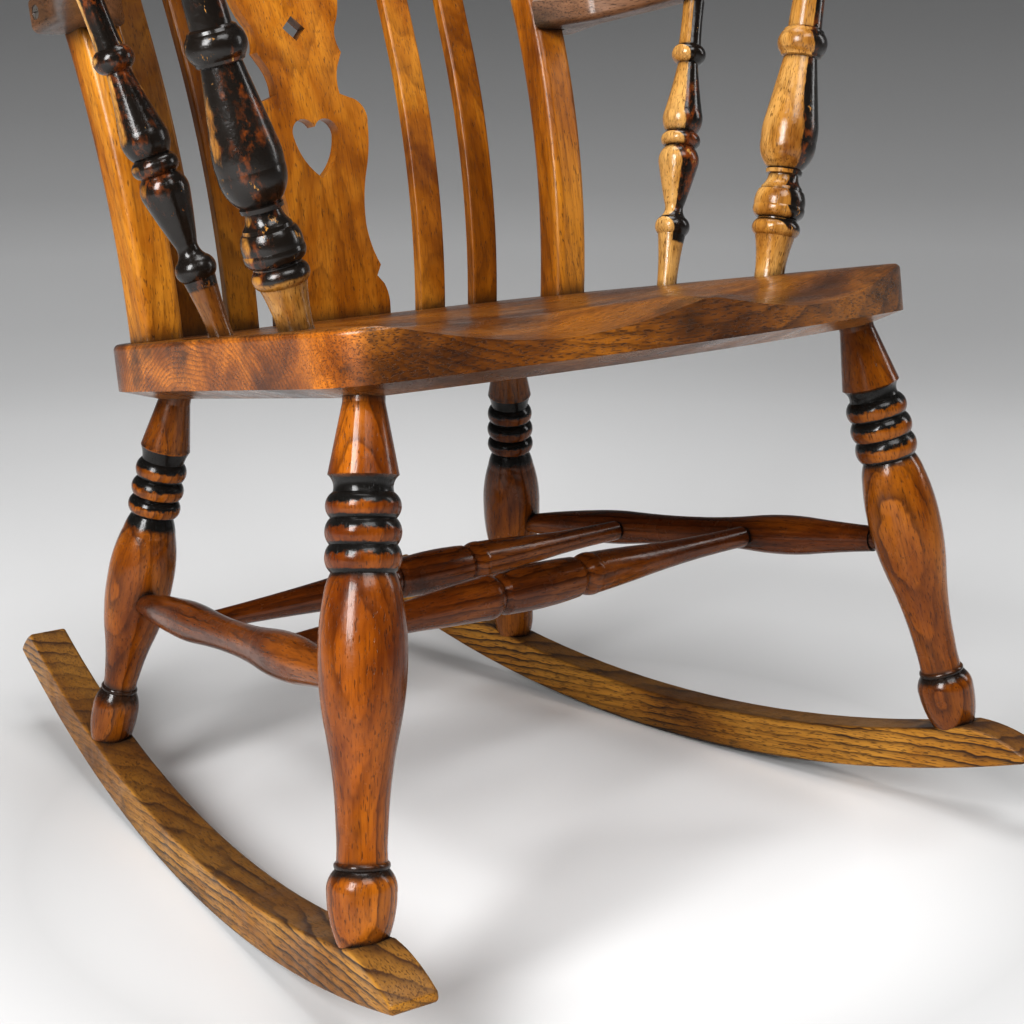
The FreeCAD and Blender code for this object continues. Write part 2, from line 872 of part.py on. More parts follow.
def layer_setback(setback, depth, bend_height, height):
    """How far back a bent piece's layer stands at a height, depth in from its front face."""
    radius = size.lumbar_radius.number - depth
    sine = (bend_height.number - size.lumbar_height.number) / size.lumbar_radius.number
    cosine = math.sqrt(1 - sine ** 2)
    centre = setback.number + size.lumbar_radius.number
    rise = height - size.lumbar_height.number
    bend_rise = radius * sine
    if rise < bend_rise:
        return centre - math.sqrt(radius ** 2 - rise ** 2)
    return centre - radius * cosine + (rise - bend_rise) * sine / cosine


def layer_edges(shape, setback, depth, bend_height):
    """The long edges of a bent piece that lie in one of its layers."""
    def suits(edge):
        middle = edge.valueAt((edge.FirstParameter + edge.LastParameter) / 2)
        layer = layer_setback(setback, depth, bend_height, middle.z)
        return abs(middle.y - layer) < size.joint_gap.number and edge.Length > size.lath_width.number * 2
    return edges_that(shape, suits)


def left_of(pair):
    return (-pair[0], pair[1])


def hoop_outline(grow):
    """An arch in the plane of the upper back: two feet that lean outwards, and a round crown."""
    half_width = size.hoop_width / 2 + grow
    outer_radius = hoop_crown_radius + half_width
    inner_radius = hoop_crown_radius - half_width
    zero = as_term(0)
    low = -hoop_foot_fall - size.overrun

    def leg_line(offset):
        return size.hoop_bend_half_span + low * size.hoop_flare_slope + offset * flare_secant

    def spring(radius):
        return (radius / flare_secant, hoop_crown_centre - radius * size.hoop_flare_slope / flare_secant)

    outer_foot = (leg_line(half_width), low)
    inner_foot = (leg_line(-half_width), low)
    outer_spring = spring(outer_radius)
    inner_spring = spring(inner_radius)
    return (
        inner_foot,
        [
            (outer_foot,),
            (outer_spring,),
            ((zero, hoop_crown_centre + outer_radius), left_of(outer_spring)),
            (left_of(outer_foot),),
            (left_of(inner_foot),),
            (left_of(inner_spring),),
            ((zero, hoop_crown_centre + inner_radius), inner_spring),
            (inner_foot,),
        ],
    )


def hoop_body(name, grow):
    body = doc.addObject("PartDesign::Body", name)
    half_reach = hoop_crown_radius + size.hoop_width
    bent_strip(body, name, size.hoop_setback, size.hoop_depth, size.hoop_bend_height, half_reach, grow)
    tilt = Placement(
        Vector(0, size.hoop_bend_height.number, -hoop_bend_setback.number),
        Rotation(Vector(1, 0, 0), -math.degrees(math.asin(hoop_bend_sine.number))),
    )
    return body, sawn_out(body, name, half_reach, [hoop_outline(grow)], tilt)


def hoop_ceiling(across):
    """The height, seen from the front, of the bottom of a mortise in the hoop."""
    reach = hoop_crown_radius - size.hoop_width / 2 + size.hoop_mortise_depth
    rise = hoop_crown_centre + root(reach * reach - across * across)
    return size.hoop_bend_height + rise * hoop_bend_cosine


def lath_body(name, setback, foot_half_span, head_half_span, side, grow):
    """A lath that runs from a mortise in the seat to a mortise in the hoop."""
    body = doc.addObject("PartDesign::Body", name)
    half_reach = head_half_span + size.lath_width
    bent_strip(body, name, setback, size.lath_depth, size.lath_bend_height, half_reach, grow)
    half_width = size.lath_width / 2
    floor = back_foot_height - grow

    def corner(middle, offset, height):
        across = middle + offset
        return (across if side > 0 else -across, height)

    inner_foot = corner(foot_half_span, -half_width - grow, floor)
    outer_foot = corner(foot_half_span, half_width + grow, floor)
    outer_top = hoop_ceiling(head_half_span + half_width) + grow
    inner_top = hoop_ceiling(head_half_span - half_width) + grow
    outer_head = corner(head_half_span, half_width + grow, outer_top)
    inner_head = corner(head_half_span, -half_width - grow, inner_top)
    loop = (inner_foot, [(outer_foot,), (outer_head,), (inner_head,), (inner_foot,)])
    return body, sawn_out(body, name, half_reach, [loop])


splat_height = work_out(
    "splat_height",
    size.hoop_bend_height - size.seat_thickness
    + (hoop_crown_centre + hoop_crown_radius - size.hoop_width / 2) * hoop_bend_cosine,
)


def reached_back(path):
    """The same path drawn from its far end."""
    start, cuts = path
    places = [start] + [cut[-1] for cut in cuts]
    backward = []
    for number in range(len(cuts) - 1, -1, -1):
        backward.append(cuts[number][:-1] + (places[number],))
    return places[-1], backward


def redrawn(path, move):
    """The same path with every place moved by a rule."""
    start, cuts = path
    return move(start), [tuple(move(spot) for spot in cut) for cut in cuts]


def read_path(start, rows, place):
    """Turns rows of two or four shares into cuts."""
    cuts = []
    for row in rows:
        pairs = [place(row[number], row[number + 1]) for number in range(0, len(row), 2)]
        cuts.append(tuple(pairs))
    return start, cuts


def splat_side():
    """The splat's right side, from the seat to the hoop: the upper half is the lower reflected."""
    def low_place(across, up):
        return (size.splat_half_width * across, size.seat_thickness + splat_height * up)

    def high_place(across, up):
        return low_place(across, 1 - up)

    start = low_place(*splat_foot_shares)
    start, lower = read_path(start, splat_outline_shares, low_place)
    far_start = high_place(*splat_foot_shares)
    upper = reached_back(read_path(far_start, splat_outline_shares, high_place))
    return start, lower + upper[1]


def splat_outline(side_path, grow):
    half_width = size.splat_half_width + grow
    foot = (half_width, back_foot_height - grow)
    head = (half_width, hoop_ceiling(size.splat_half_width) + grow)
    crown = (as_term(0), hoop_ceiling(as_term(0)) + grow)
    side_start, side_cuts = side_path
    right = (foot, [(side_start,)] + side_cuts + [(head,)])
    left = redrawn(reached_back(right), left_of)
    return foot, right[1] + [(crown, left[0])] + left[1] + [(foot,)]


def splat_body(name, side_path, grow):
    body = doc.addObject("PartDesign::Body", name)
    half_reach = size.splat_half_width + size.lath_width
    bent_strip(body, name, size.splat_setback, size.splat_depth, size.lath_bend_height, half_reach, grow)
    return body, sawn_out(body, name, half_reach, [splat_outline(side_path, grow)])


def heart(rise_share):
    def place(across, up):
        height = size.seat_thickness + splat_height * rise_share + size.heart_height * up
        return (size.heart_half_width * across, height)

    tip = place(0, 0)
    right = read_path(tip, heart_shares, place)
    left = redrawn(reached_back(right), left_of)
    return tip, right[1] + left[1][:-1] + [left[1][-1][:-1] + (tip,)]


def diamond(rise_share):
    low = size.seat_thickness + splat_height * rise_share
    middle = low + size.diamond_height / 2
    tip = (as_term(0), low)
    right_corner = (size.diamond_half_width, middle)
    top = (as_term(0), low + size.diamond_height)
    return tip, [(right_corner,), (top,), (left_of(right_corner),), (tip,)]


no_growth = as_term(0)
hoop, hoop_sawn = hoop_body("hoop_board", no_growth)
doc.recompute()
hoop_edges = []
for depth in (0, size.hoop_depth.number):
    hoop_edges += layer_edges(hoop_sawn.Shape, size.hoop_setback, depth, size.hoop_bend_height)
rounded(hoop, hoop_sawn, "hoop_rounded", hoop_edges, size.hoop_edge_radius)
hoop_clearance = hoop_body("hoop_clearance", size.joint_gap)[0]

back_cutters = []
laths = (
    ("outer", size.outer_lath_setback, size.outer_lath_foot_half_span, size.outer_lath_head_half_span),
    ("inner", size.inner_lath_setback, size.inner_lath_foot_half_span, size.inner_lath_head_half_span),
)
for word, side in SIDES:
    for place, setback, foot_half_span, head_half_span in laths:
        name = f"{word}_{place}_lath"
        spans = (foot_half_span, head_half_span)
        lath, sawn = lath_body(f"{name}_board", setback, *spans, side, no_growth)
        doc.recompute()
        lath_edges = layer_edges(sawn.Shape, setback, 0, size.lath_bend_height)
        rounded(lath, sawn, f"{name}_rounded", lath_edges, size.lath_edge_radius)
        finished(lath, name)
        cutter, cutter_sawn = lath_body(f"{name}_clearance", setback, *spans, side, size.joint_gap)
        back_cutters.append(cutter)

splat, splat_sawn = splat_body("splat_board", splat_side(), no_growth)
piercing = new_sketch(splat, "XZ_Plane", "splat_piercings")
for rise_share in heart_rise_shares:
    draw_loop(piercing, *heart(rise_share))
for rise_share in diamond_rise_shares:
    draw_loop(piercing, *diamond(rise_share))
pierced = splat.newObject("PartDesign::Pocket", "splat_pierced")
pierced.Profile = (piercing, [""])
pierced.Type = "ThroughAll"
finished(splat, "splat")
plain_side = ((size.splat_half_width + size.joint_gap, size.seat_thickness), [])
back_cutters.append(splat_body("splat_clearance", plain_side, size.joint_gap)[0])

# The arms

ARM_FRAME = Placement(
    Vector(0, size.hoop_setback.number, size.arm_hoop_height.number),
    Rotation(Vector(1, 0, 0), -size.arm_slope_angle.number),
)


def arm_board(name, side):
    """A flat board with a rounded front, a waist and a lug that passes outside the hoop."""
    body = doc.addObject("PartDesign::Body", name)
    sketch = new_sketch(body, "XY_Plane", f"{name}_outline")

    def place(across, rearward):
        spread = size.arm_heel_half_span + size.arm_spread * across
        return (spread if side > 0 else -spread, size.arm_length * rearward)

    start = place(*arm_heel_shares)
    start, cuts = read_path(start, arm_outline_shares, place)
    cuts[-1] = cuts[-1][:-1] + (start,)
    draw_loop(sketch, start, cuts)
    pad = padded(body, sketch, f"{name}_sawn", size.arm_thickness)
    doc.recompute()
    half_thickness = size.arm_thickness.number / 2

    def front_corner(edge):
        return edge.BoundBox.ZLength > half_thickness and edge.BoundBox.YMax < 0

    def lug_corner(edge):
        return edge.BoundBox.ZLength > half_thickness and edge.BoundBox.YMin > size.hoop_depth.number

    front_corners = edges_that(pad.Shape, front_corner)
    front = rounded(body, pad, f"{name}_front", front_corners, size.arm_corner_radius)
    doc.recompute()
    lug_corners = edges_that(front.Shape, lug_corner)
    lug = rounded(body, front, f"{name}_lug", lug_corners, size.arm_lug_radius)
    doc.recompute()
    arrises = edges_that(lug.Shape, lambda edge: edge.BoundBox.ZLength < size.joint_gap.number)
    rounded(body, lug, f"{name}_arrises", arrises, size.arm_edge_radius)
    body.Placement = ARM_FRAME
    return body


def socket(name, side, end, direction, diameter, tenon_length):
    """The cutter for a tenon that goes in at a place, begun outside the wood."""
    start = end - direction * size.overrun.number
    depth = tenon_length + size.joint_gap + size.overrun
    return bored(name, mirrored(start, side), mirrored(direction, side), diameter, depth)


def cone(name, start, direction, wide, narrow, height):
    cutter = doc.addObject("Part::Cone", name)
    for role, term in (("Radius1", wide), ("Radius2", narrow), ("Height", height)):
        setattr(cutter, role, term.number)
        cutter.setExpression(role, term.words)
    cutter.Placement = Placement(start, facing(direction))
    return cutter


def screw_head(side):
    """The middle of a screw's head, at the outside of its arm's lug."""
    half_span = side * size.screw_half_span.number
    return Vector(half_span, size.screw_setback.number, size.screw_height.number)


def screw_hole(word, side):
    """A countersunk hole through the arm's lug into the hoop."""
    inward = Vector(-side, 0, 0)
    head = screw_head(side)
    shank_radius = size.screw_shank_diameter / 2 + size.joint_gap
    head_radius = size.screw_head_diameter / 2 + size.joint_gap
    depth = size.screw_length + size.joint_gap
    shank = bored(f"{word}_screw_hole", head, inward, size.screw_shank_diameter, depth)
    sink = cone(f"{word}_screw_sink", head, inward, head_radius, shank_radius, size.screw_head_height)
    way_in = bored(f"{word}_screw_way_in", head, -inward, size.screw_head_diameter, size.overrun)
    return joined(f"{word}_screw_clearance", [shank, sink, way_in])


def arm_screw(word, side):
    """A slotted wood screw, driven level through the lug."""
    body = doc.addObject("PartDesign::Body", f"{word}_screw_turning")
    sketch = new_sketch(body, "XZ_Plane", f"{word}_screw_profile")
    zero = as_term(0)
    shank_radius = size.screw_shank_diameter / 2
    start = (zero, zero)
    cuts = [
        ((size.screw_head_diameter / 2, zero),),
        ((shank_radius, size.screw_head_height),),
        ((shank_radius, size.screw_length - size.screw_point_length),),
        ((zero, size.screw_length),),
        (start,),
    ]
    draw_loop(sketch, start, cuts)
    turning = body.newObject("PartDesign::Revolution", f"{word}_screw_turned")
    turning.Profile = (sketch, [""])
    turning.ReferenceAxis = (sketch, ["V_Axis"])
    turning.Angle = 360
    slot = new_sketch(body, "XZ_Plane", f"{word}_screw_slot")
    half_slot = size.screw_slot_width / 2
    corner = (-half_slot, -size.overrun)
    draw_loop(
        slot,
        corner,
        [
            ((half_slot, -size.overrun),),
            ((half_slot, size.screw_slot_depth),),
            ((-half_slot, size.screw_slot_depth),),
            (corner,),
        ],
    )
    pocket = body.newObject("PartDesign::Pocket", f"{word}_screw_slotted")
    pocket.Profile = (slot, [""])
    pocket.Type = "ThroughAll"
    pocket.SideType = "Symmetric"
    head = screw_head(side)
    body.Placement = Placement(head, facing(Vector(-side, 0, 0)))
    return body


post_runs = (
    (
        "front",
        front_post_foot,
        front_post_head,
        size.front_post_tenon_diameter,
        size.front_arm_tenon_diameter,
    ),
    (
        "rear",
        rear_post_foot,
        rear_post_head,
        size.rear_post_tenon_diameter,
        size.rear_arm_tenon_diameter,
    ),
)
seat_cutters = [hoop_clearance] + back_cutters
hoop_cutters = list(back_cutters)
for word, side in SIDES:
    hole = screw_hole(word, side)
    hoop_cutters.append(hole)
    arm_cutters = [hoop_clearance, hole]
    for place, foot, head, foot_diameter, head_diameter in post_runs:
        upward = (head - foot).normalize()
        name = f"{place}_{word}_arm_socket"
        arm_cutters.append(socket(name, side, head, upward, head_diameter, size.arm_tenon_length))
        name = f"{place}_{word}_post_socket"
        seat_cutters.append(socket(name, side, foot, -upward, foot_diameter, size.post_tenon_length))
    board = arm_board(f"{word}_arm_board", side)
    arm = cut_away(f"{word}_arm_notched", board, joined(f"{word}_arm_cutters", arm_cutters))
    finished(arm, f"{word}_arm")
    finished(arm_screw(word, side), f"{word}_arm_screw")

hoop_mortised = cut_away("hoop_mortised", hoop, joined("hoop_cutters", hoop_cutters))
finished(hoop_mortised, "back_hoop")


# The seat

for word, side in SIDES:
    for place, top, foot, diameter in (
        ("front", front_leg_top, front_foot, size.front_leg_tenon_diameter),
        ("rear", rear_leg_top, rear_foot, size.rear_leg_tenon_diameter),
    ):
        upward = (top - foot).normalize()
        seat_cutters.append(
            socket(f"{place}_{word}_seat_socket", side, top, upward, diameter, size.leg_tenon_length)
        )

seat_body = doc.addObject("PartDesign::Body", "seat_board")
seat_sketch = new_sketch(seat_body, "XY_Plane", "seat_outline")
zero = as_term(0)
front_right = (size.seat_front_half_width, -size.seat_front_corner_reach)
front_left = left_of(front_right)
front_middle = (zero, -size.seat_front_corner_reach - size.seat_front_bow)
rear_right = (size.seat_rear_half_width, size.seat_rear_corner_reach)
rear_left = left_of(rear_right)
rear_middle = (zero, size.seat_rear_corner_reach + size.seat_rear_bow)
draw_loop(
    seat_sketch,
    front_left,
    [(front_middle, front_right), (rear_right,), (rear_middle, rear_left), (front_left,)],
)
seat_pad = padded(seat_body, seat_sketch, "seat_sawn", size.seat_thickness)
doc.recompute()


def upright_edges(shape, rearward):
    def suits(edge):
        box = edge.BoundBox
        upright = box.XLength + box.YLength < size.joint_gap.number
        return upright and (box.YMin > size.seat_front_half_width.number / 2) == rearward
    return edges_that(shape, suits)


def level_edges(shape, height):
    def suits(edge):
        box = edge.BoundBox
        return abs(box.ZMin - height) < size.joint_gap.number and box.ZLength < size.joint_gap.number
    return edges_that(shape, suits)


front_rounded = rounded(
    seat_body,
    seat_pad,
    "seat_front_corners",
    upright_edges(seat_pad.Shape, False),
    size.seat_front_corner_radius,
)
doc.recompute()
rear_rounded = rounded(
    seat_body,
    front_rounded,
    "seat_rear_corners",
    upright_edges(front_rounded.Shape, True),
    size.seat_rear_corner_radius,
)
doc.recompute()
bevel = seat_body.newObject("PartDesign::Chamfer", "seat_under_bevel")
bevel.Base = (rear_rounded, level_edges(rear_rounded.Shape, 0))
bevel.ChamferType = "Two distances"
bevel.Size = size.seat_bevel_width.number
bevel.setExpression("Size", size.seat_bevel_width.words)
bevel.Size2 = size.seat_bevel_height.number
bevel.setExpression("Size2", size.seat_bevel_height.words)
doc.recompute()
seat_rim = rounded(
    seat_body,
    bevel,
    "seat_rim",
    level_edges(bevel.Shape, size.seat_thickness.number),
    size.seat_rim_radius,
)
doc.recompute()

# The hollows of the seat are carved by eye in a real chair. Here their floor is a smooth surface
# through heights worked out from the sizes: the deeper of a thigh hollow and the dish.

hollow_clear_share = 0.2
ridge_softness_share = 0.03


def hollow_depth(across, back):
    """How far the hollows' floor lies below the top of the seat."""
    soft = size.thigh_hollow_half_width.number * ridge_softness_share
    reach = math.sqrt(across ** 2 + soft ** 2) / size.thigh_hollow_half_width.number
    front = size.seat_front_corner_reach.number + size.seat_front_bow.number
    way = (back + front) / size.thigh_hollow_length.number
    ridge_share = 0.27
    swell = math.sin(math.pi * min(reach, 1)) - max(reach - 1, 0)
    thigh = size.thigh_hollow_depth.number * (ridge_share * (1 - reach) ** 2 + swell - way)
    aside = across / size.dish_half_width.number
    along = (back - size.dish_middle_reach.number) / size.dish_half_length.number
    dish = size.dish_depth.number * (1 - aside ** 2 - along ** 2)
    blend = size.hollow_blend.number
    deeper = blend * math.log(1 + math.exp(thigh / blend) + math.exp(dish / blend))
    return deeper - blend * hollow_clear_share


def hollow_floor(steps_across, steps_back):
    margin = size.overrun.number
    half_width = size.seat_front_half_width.number + margin
    front = -size.seat_front_corner_reach.number - size.seat_front_bow.number - margin
    rear = size.seat_rear_corner_reach.number + size.seat_rear_bow.number + margin
    rows = []
    for number in range(steps_across + 1):
        across = -half_width + 2 * half_width * number / steps_across
        row = []
        for step in range(steps_back + 1):
            back = front + (rear - front) * step / steps_back
            height = size.seat_thickness.number - hollow_depth(across, back)
            row.append(Vector(across, back, height))
        rows.append(row)
    surface = Part.BSplineSurface()
    surface.interpolate(rows)
    return surface.toShape()


hollow_grid = (48, 36)
hollow = doc.addObject("Part::Feature", "seat_hollow")
hollow.Shape = hollow_floor(*hollow_grid).extrude(Vector(0, 0, size.seat_thickness.number))
carved = cut_away("seat_carved", seat_body, hollow)
seat = cut_away("seat_bored", carved, joined("seat_cutters", seat_cutters))
finished(seat, "seat")
doc.recompute()


# The chair is leaned back as it stands, and set on the ground with its middle over the origin

lean = Placement(Vector(), Rotation(Vector(1, 0, 0), -size.lean_angle.number))
extent = FreeCAD.BoundBox()
for piece in sub_parts:
    leaned = piece.Shape.copy()
    leaned.Placement = lean * leaned.Placement
    extent.add(leaned.optimalBoundingBox(False))
drop = Vector(-extent.Center.x, -extent.Center.y, -extent.ZMin)
stand = Placement(drop, Rotation()) * lean
for piece in sub_parts:
    piece.Placement = stand * piece.Placement
doc.recompute()

for thing in doc.Objects:
    if "Invalid" in thing.State or "Error" in thing.State:
        raise RuntimeError(f"{thing.Name} did not build: {thing.State}")
os.makedirs("parts", exist_ok=True)
for piece in sub_parts:
    shape = piece.Shape
    if shape.isNull() or not shape.isValid() or len(shape.Solids) != 1:
        raise RuntimeError(f"{piece.Label} is not one sound solid")
    shape.exportStep(f"parts/{piece.Label}.step")
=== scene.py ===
import math

import bmesh
import bpy
import numpy as np
from mathutils import Matrix, Vector


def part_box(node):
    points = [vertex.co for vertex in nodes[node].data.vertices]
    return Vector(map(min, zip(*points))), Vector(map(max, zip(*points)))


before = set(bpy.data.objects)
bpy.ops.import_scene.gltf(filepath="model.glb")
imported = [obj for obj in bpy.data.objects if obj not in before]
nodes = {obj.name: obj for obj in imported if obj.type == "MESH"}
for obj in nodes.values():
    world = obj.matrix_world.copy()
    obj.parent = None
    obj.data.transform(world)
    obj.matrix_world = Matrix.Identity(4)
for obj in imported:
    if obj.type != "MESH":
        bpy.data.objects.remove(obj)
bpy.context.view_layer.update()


# The camera stands in front of the chair, a little to its left, and looks down on the seat.

EYE = Vector((-0.7883, -1.0531, 0.5556))
EYE_AZIMUTH = math.radians(-39.3955)
EYE_ELEVATION = math.radians(14.5198)
EYE_LENS_MM = 64.45
FILM_WIDTH_MM = 36.0

backward = Vector((
    math.sin(EYE_AZIMUTH) * math.cos(EYE_ELEVATION),
    -math.cos(EYE_AZIMUTH) * math.cos(EYE_ELEVATION),
    math.sin(EYE_ELEVATION),
))
camera_data = bpy.data.cameras.new("eye")
camera_data.lens = EYE_LENS_MM
camera_data.sensor_width = FILM_WIDTH_MM
camera = bpy.data.objects.new("eye", camera_data)
camera.location = EYE
camera.rotation_euler = backward.to_track_quat("Z", "Y").to_euler()
bpy.context.scene.collection.objects.link(camera)
bpy.context.scene.camera = camera
bpy.context.scene.view_settings.view_transform = "Standard"
bpy.context.scene.view_settings.look = "Medium High Contrast"


# The studio: a pale floor that curves up into a wall all round, with soft boxes over it. Its one
# sheet of paper has painted light: brightest near the chair, a painted shadow ring close round it,
# and greyer where the light falls away.

FLOOR_RADIUS = 1.9
COVE_RADIUS = 2.8
WALL_HEIGHT = 0.6
FLOOR_STEPS = 8
COVE_STEPS = 12
SHEET_SIDES = 96
PAPER_MIDDLE = (0.02, -0.10, 0.0)
PAPER_LIGHT_FALL = (
    (0.24, 0.87), (0.37, 0.58), (0.54, 0.72), (0.75, 0.79), (1.25, 0.85), (1.60, 0.88),
    (2.75, 0.82), (3.05, 0.67), (3.40, 0.55), (3.75, 0.43),
)


class Finish:
    """A material whose shader nodes are joined up as they are made."""

    def __init__(self, name):
        self.material = bpy.data.materials.new(name)
        self.material.use_nodes = True
        self.tree = self.material.node_tree
        self.tree.nodes.clear()

    def put(self, socket, value):
        """Joins a socket to another one, or gives it a plain value."""
        if isinstance(value, bpy.types.NodeSocket):
            self.tree.links.new(value, socket)
        else:
            socket.default_value = value

    def add(self, kind, inputs=None, **settings):
        """A new node with its settings made and its inputs joined."""
        node = self.tree.nodes.new(kind)
        for key, value in settings.items():
            setattr(node, key, value)
        for key, value in (inputs or {}).items():
            self.put(node.inputs[key], value)
        return node

    def sum(self, operation, first, second=0.0, third=0.0, clamp=False):
        """The result of one sum on numbers or sockets."""
        settings = {"operation": operation, "use_clamp": clamp}
        return self.add("ShaderNodeMath", {0: first, 1: second, 2: third}, **settings).outputs[0]

    def fade(self, value, low, high, start=0.0, end=1.0):
        """A soft step from start to end as value goes from low to high."""
        inputs = {"Value": value, "From Min": low, "From Max": high, "To Min": start, "To Max": end}
        return self.add("ShaderNodeMapRange", inputs, interpolation_type="SMOOTHSTEP").outputs[0]

    def mix(self, share, first, second, blend="MIX"):
        """The first colour turning into the second as share goes from 0 to 1."""
        settings = {"data_type": "RGBA", "blend_type": blend}
        return self.add("ShaderNodeMix", {0: share, 6: first, 7: second}, **settings).outputs[2]

    def noise(self, where, scale, detail=2.0, roughness=0.5, distortion=0.0):
        """Cloudy noise from 0 to 1, with scale lumps to a metre."""
        inputs = {
            "Vector": where,
            "Scale": scale,
            "Detail": detail,
            "Roughness": roughness,
            "Distortion": distortion,
        }
        return self.add("ShaderNodeTexNoise", inputs).outputs[0]

    def steps(self, share, stops):
        """A blend through (place, colour) stops."""
        node = self.add("ShaderNodeValToRGB", {0: share})
        elements = node.color_ramp.elements
        for place, colour in stops[2:]:
            elements.new(place)
        for element, (place, colour) in zip(elements, stops):
            element.position = place
            element.color = colour
        return node.outputs[0]

    def close(self, shader):
        """The finished material, with the shader as its surface."""
        output = self.add("ShaderNodeOutputMaterial")
        self.tree.links.new(shader, output.inputs["Surface"])
        return self.material


def new_piece(name, mesh):
    piece = bpy.data.objects.new(name, mesh)
    bpy.context.scene.collection.objects.link(piece)
    return piece


def studio_sheet():
    """The round sheet: its profile is turned about the middle of the floor."""
    profile = [(0.0, 0.0)]
    profile += [(FLOOR_RADIUS * step / FLOOR_STEPS, 0.0) for step in range(1, FLOOR_STEPS + 1)]
    for step in range(1, COVE_STEPS + 1):
        turn = math.pi / 2 * step / COVE_STEPS
        profile.append((
            FLOOR_RADIUS + COVE_RADIUS * math.sin(turn),
            COVE_RADIUS * (1 - math.cos(turn)),
        ))
    profile.append((FLOOR_RADIUS + COVE_RADIUS, COVE_RADIUS + WALL_HEIGHT))
    sheet = bmesh.new()
    rings = []
    for reach, height in profile:
        ring = []
        for side in range(SHEET_SIDES if reach else 1):
            turn = math.tau * side / SHEET_SIDES
            ring.append(sheet.verts.new((reach * math.cos(turn), reach * math.sin(turn), height)))
        rings.append(ring)
    for side in range(SHEET_SIDES):
        beside = (side + 1) % SHEET_SIDES
        sheet.faces.new((rings[0][0], rings[1][side], rings[1][beside]))
    for inner, outer in zip(rings[1:], rings[2:]):
        for side in range(SHEET_SIDES):
            beside = (side + 1) % SHEET_SIDES
            sheet.faces.new((inner[side], outer[side], outer[beside], inner[beside]))
    for face in sheet.faces:
        face.smooth = True
    mesh = bpy.data.meshes.new("studio_paper")
    sheet.to_mesh(mesh)
    sheet.free()
    return mesh


studio = new_piece("studio_paper", studio_sheet())
paper = Finish("paper_with_painted_light")
paper_place = paper.add("ShaderNodeTexCoord").outputs["Object"]
paper_flat = paper.add(
    "ShaderNodeVectorMath", {0: paper_place, 1: (1, 1, 0)}, operation="MULTIPLY"
).outputs[0]
paper_reach = paper.add(
    "ShaderNodeVectorMath", {0: paper_flat, 1: PAPER_MIDDLE}, operation="DISTANCE"
).outputs["Value"]
widest = FLOOR_RADIUS + COVE_RADIUS
# Painted light: bright near the chair, a painted shadow ring round it, greyer as the light falls
# away.
paper_painted_light = paper.steps(
    paper.sum("DIVIDE", paper_reach, widest),
    [(reach / widest, (grey, grey, grey, 1)) for reach, grey in PAPER_LIGHT_FALL],
)
paper_shader = paper.add(
    "ShaderNodeBsdfPrincipled",
    {"Base Color": paper_painted_light, "Roughness": 0.85, "Specular IOR Level": 0.2},
)
studio.data.materials.append(paper.close(paper_shader.outputs[0]))

# Each soft box: its place, the place that it aims at, its size, its watts and its spread
SOFT_BOXES = (
    ("left_bank", (-1.95, -0.70, 1.40), (0.0, -0.05, 0.35), (0.8, 1.2), 38.0, 150.0),
    ("front_bank", (-0.30, -1.70, 2.30), (0.05, -0.40, 0.0), (1.4, 1.0), 18.0, 150.0),
    ("top_bank", (0.1, 0.2, 2.9), (0.0, 0.1, 0.0), (1.5, 1.3), 25.0, 160.0),
    ("right_window", (1.7, -0.9, 1.1), (0.1, 0.0, 0.35), (0.35, 1.0), 3.0, 140.0),
)
for name, place, aim, size, power, spread in SOFT_BOXES:
    lamp_data = bpy.data.lights.new(name, "AREA")
    lamp_data.shape = "RECTANGLE"
    lamp_data.size, lamp_data.size_y = size
    lamp_data.energy = power
    lamp_data.spread = math.radians(spread)
    lamp = bpy.data.objects.new(name, lamp_data)
    lamp.location = place
    lamp.rotation_euler = (Vector(place) - Vector(aim)).to_track_quat("Z", "Y").to_euler()
    bpy.context.scene.collection.objects.link(lamp)

SKY_GREY = (0.55, 0.56, 0.58, 1.0)
SKY_STRENGTH = 0.10
sky = bpy.data.worlds.new("sky")
sky.use_nodes = True
sky_shader = sky.node_tree.nodes["Background"]
sky_shader.inputs["Color"].default_value = SKY_GREY
sky_shader.inputs["Strength"].default_value = SKY_STRENGTH
bpy.context.scene.world = sky


# The seat: one thick elm board, saddled by hand and polished by wear. Its grain runs from side to
# side. Its old finish is darkest in the hollows' edges and beside the posts, with old dirt and
# painted shade there, and its two ends are painted lighter, as painted light.

PATTERN_STEPS = (0.37, 0.61, 0.83)
CLOUDS_PER_METRE = 15.0
PATCHES_PER_METRE = 12.0
FIBRES_PER_METRE = 650.0
PORE_WIDTH = 0.0009
PORE_LENGTH = 0.0065
PORE_COLOUR = (0.022, 0.008, 0.004, 1)
DIRT_AND_SHADE_COLOUR = (0.010, 0.008, 0.007, 1)


